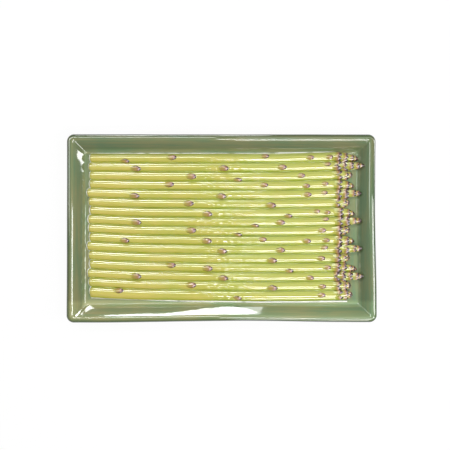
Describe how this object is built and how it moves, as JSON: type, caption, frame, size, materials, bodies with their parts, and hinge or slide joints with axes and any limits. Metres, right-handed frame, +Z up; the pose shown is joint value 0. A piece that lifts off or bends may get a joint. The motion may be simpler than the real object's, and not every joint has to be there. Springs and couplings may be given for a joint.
{
  "type": "asparagus dish",
  "caption": "Oblong glazed earthenware serving dish with sloping walls and a rolled rim, its well filled with asparagus spears in relief.",
  "frame": {"origin": "on the surface that the dish stands on, under the middle of the rim: the centre of the bottom of the bounding box", "axes": "+X along the spears from their cut butts to their tips, +Y across them to the back, +Z up out of the well"},
  "size_m": [0.33, 0.2, 0.02],
  "materials": {
    "sage_glaze": "glossy, brushed",
    "bare_clay": "matte",
    "spear_glaze": "glossy",
    "leaf_glaze": "glossy"
  },
  "bodies": {
    "root": {"dish": "sage_glaze", "foot_ring": "bare_clay", "spear_01": "spear_glaze", "spear_02": "spear_glaze", "spear_03": "spear_glaze", "spear_04": "spear_glaze", "spear_05": "spear_glaze", "spear_06": "spear_glaze", "spear_07": "spear_glaze", "spear_08": "spear_glaze", "spear_09": "spear_glaze", "spear_10": "spear_glaze", "spear_11": "spear_glaze", "spear_12": "spear_glaze", "spear_13": "spear_glaze", "spear_14": "spear_glaze", "spear_15": "spear_glaze", "spear_16": "spear_glaze", "scales_01": "leaf_glaze", "scales_02": "leaf_glaze", "scales_03": "leaf_glaze", "scales_04": "leaf_glaze", "scales_05": "leaf_glaze", "scales_06": "leaf_glaze", "scales_07": "leaf_glaze", "scales_08": "leaf_glaze", "scales_09": "leaf_glaze", "scales_10": "leaf_glaze", "scales_11": "leaf_glaze", "scales_12": "leaf_glaze", "scales_13": "leaf_glaze", "scales_14": "leaf_glaze", "scales_15": "leaf_glaze", "scales_16": "leaf_glaze"}
  },
  "joints": []
}
